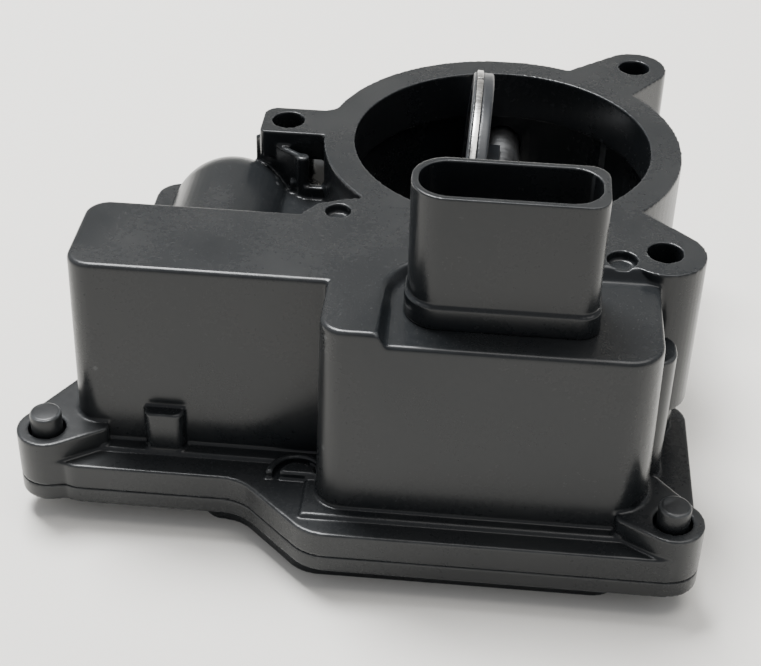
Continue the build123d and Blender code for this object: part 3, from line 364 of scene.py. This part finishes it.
def settled_mesh(piece):
    """Replace a piece's mesh by the result of its modifiers."""
    graph = bpy.context.evaluated_depsgraph_get()
    mesh = bpy.data.meshes.new_from_object(piece.evaluated_get(graph))
    piece.modifiers.clear()
    old = piece.data
    piece.data = mesh
    bpy.data.meshes.remove(old)


def stand_for(piece, node_name):
    """Put a finished piece in a CAD node's place, on its body and in its slot."""
    bodies = frame["record"]["behaviour"]["bodies"]
    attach(piece, next(body for body, members in bodies.items() if node_name in members))
    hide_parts(node_name)
    dress(piece, NODE_SLOT[node_name])


def copy_of(node_name):
    """Bmesh of a CAD node, welded."""
    mesh = bmesh.new()
    mesh.from_mesh(nodes[node_name].data)
    bmesh.ops.remove_doubles(mesh, verts=mesh.verts, dist=WELD)
    return mesh


def moulded_skin(name, node_name, voxel, rounds):
    """Moulding with softened edges: the CAD solid remeshed into one skin and relaxed."""
    solid = copy_of(node_name)
    mesh = bpy.data.meshes.new(name)
    solid.to_mesh(mesh)
    solid.free()
    piece = new_piece(name, mesh)
    fuse = piece.modifiers.new("fuse", "REMESH")
    fuse.mode = "VOXEL"
    fuse.voxel_size = voxel
    relax = piece.modifiers.new("relax", "SMOOTH")
    relax.factor = 0.5
    relax.iterations = rounds
    settled_mesh(piece)
    for polygon in piece.data.polygons:
        polygon.use_smooth = True
    stand_for(piece, node_name)


def eased_copy(name, node_name, width):
    """Small hard part: its CAD shape with bevelled edges."""
    solid = copy_of(node_name)
    bmesh.ops.dissolve_limit(solid, angle_limit=radians(0.5), verts=solid.verts, edges=solid.edges)
    mesh = bpy.data.meshes.new(name)
    solid.to_mesh(mesh)
    solid.free()
    piece = new_piece(name, mesh)
    bevel = piece.modifiers.new("ease", "BEVEL")
    bevel.width = width
    bevel.segments = BEVEL_STEPS
    bevel.limit_method = "ANGLE"
    bevel.angle_limit = EDGE_ANGLE
    settled_mesh(piece)
    for polygon in piece.data.polygons:
        polygon.use_smooth = True
    piece.data.set_sharp_from_angle(angle=CREASE_ANGLE)
    stand_for(piece, node_name)


# ------------------------------------------------------------------ the moulded pieces
LARGE_SKIN = 0.33 * MM
moulded_skin("housing_moulding", "main_housing", LARGE_SKIN, 2)
moulded_skin("cover_moulding", "bottom_cover", LARGE_SKIN, 3)
moulded_skin("connector_moulding", "connector_shroud", 0.25 * MM, 3)
moulded_skin("butterfly_moulding", "throttle_disc", 0.3 * MM, 3)
eased_copy("terminal_blades", "connector_pins", 0.12 * MM)
eased_copy("butterfly_screws", "disc_screws", 0.25 * MM)
eased_copy("foot_rivets", "cover_rivets", 0.5 * MM)
eased_copy("split_ring", "seal_ring", 0.15 * MM)

# ------------------------------------------------------------------ floor, light and camera
FLOOR_Z = cad_box[0][2]
FLOOR_HALF_WIDTH = 2.4
FLOOR_FRONT = -1.6
SWEEP_START = 1.2        # where the floor begins to curve up
SWEEP_R = 0.8
SWEEP_TOP = 2.6
CAMERA_PLACE = (-0.00217, -0.28863, 0.16079)
CAMERA_TURN = (radians(-4.30), radians(36.10), radians(-1.44))      # yaw, downward pitch, roll
SENSOR_WIDTH = 36.0      # millimetres, as Blender takes them
FOCAL_LENGTH = 76.09


def make_floor():
    """Pale sweep: flat underfoot, curving up far behind."""
    mesh = bmesh.new()
    depth_points = [(FLOOR_FRONT, 0.0), (SWEEP_START, 0.0)]
    depth_points += [(SWEEP_START + SWEEP_R * sin(a), SWEEP_R - SWEEP_R * cos(a)) for a in
                     [radians(6 * i) for i in range(1, 16)]]
    depth_points.append((SWEEP_START + SWEEP_R, SWEEP_TOP))
    rows = [[mesh.verts.new((x, y, FLOOR_Z + z)) for y, z in depth_points]
            for x in (-FLOOR_HALF_WIDTH, FLOOR_HALF_WIDTH)]
    for i in range(len(depth_points) - 1):
        mesh.faces.new((rows[0][i], rows[1][i], rows[1][i + 1], rows[0][i + 1]))
    data = bpy.data.meshes.new("paper_sweep")
    mesh.to_mesh(data)
    mesh.free()
    sweep = new_piece("paper_sweep", data)
    for polygon in data.polygons:
        polygon.use_smooth = True
    material = bpy.data.materials.new("paper")
    material.use_nodes = True
    tree = material.node_tree
    shader = tree.nodes["Principled BSDF"]
    mottle = place_group(tree, MOTTLE, Dark=rgba(0.84, 0.82, 0.77), Light=rgba(0.87, 0.848, 0.797),
                         Scale=3.0, Smooth=0.75, Rough=0.9)
    tree.links.new(mottle.outputs["Color"], shader.inputs["Base Color"])
    tree.links.new(mottle.outputs["Roughness"], shader.inputs["Roughness"])
    data.materials.append(material)


def soft_light(name, place, aim, size, power, colour=(1, 1, 1)):
    """Rectangular studio light aimed at a point."""
    lamp = bpy.data.lights.new(name, "AREA")
    lamp.shape = "RECTANGLE"
    lamp.size, lamp.size_y = size
    lamp.energy = power
    lamp.color = colour
    holder = bpy.data.objects.new(name, lamp)
    holder.location = place
    holder.rotation_euler = (Vector(aim) - Vector(place)).to_track_quat("-Z", "Y").to_euler()
    bpy.context.scene.collection.objects.link(holder)


def light_scene():
    """Even room light with a strong window high behind, one light overhead and a weak fill in front."""
    world = bpy.data.worlds.new("room")
    bpy.context.scene.world = world
    world.use_nodes = True
    background = world.node_tree.nodes["Background"]
    background.inputs["Color"].default_value = rgba(0.93, 0.95, 1.0)
    background.inputs["Strength"].default_value = 0.50
    soft_light("window", (-0.30, 0.34, 1.05), (0, 0, -0.02), (0.45, 0.45), 32.0, (0.98, 0.99, 1.0))
    soft_light("overhead", (0.25, 0.1, 1.1), (0, -0.02, 0), (0.8, 0.8), 7.5, (1.0, 0.98, 0.95))
    soft_light("front_fill", (-0.5, -1.0, 0.35), (0, -0.03, -0.02), (0.7, 0.5), 0.3, (1.0, 0.98, 0.96))


def place_camera():
    """Camera in front and above, looking down past the connector into the bore."""
    yaw, pitch, roll = CAMERA_TURN
    forward = Vector((sin(yaw) * cos(pitch), cos(yaw) * cos(pitch), -sin(pitch)))
    right = Vector((cos(yaw), -sin(yaw), 0.0))
    down = forward.cross(right)
    right, down = right * cos(roll) + down * sin(roll), down * cos(roll) - right * sin(roll)
    turn = Matrix((right, -down, -forward)).transposed()
    lens = bpy.data.cameras.new("camera")
    lens.sensor_width = SENSOR_WIDTH
    lens.lens = FOCAL_LENGTH
    lens.clip_start = 0.01
    camera = bpy.data.objects.new("camera", lens)
    camera.matrix_world = Matrix.Translation(CAMERA_PLACE) @ turn.to_4x4()
    bpy.context.scene.collection.objects.link(camera)
    bpy.context.scene.camera = camera


make_floor()
light_scene()
place_camera()
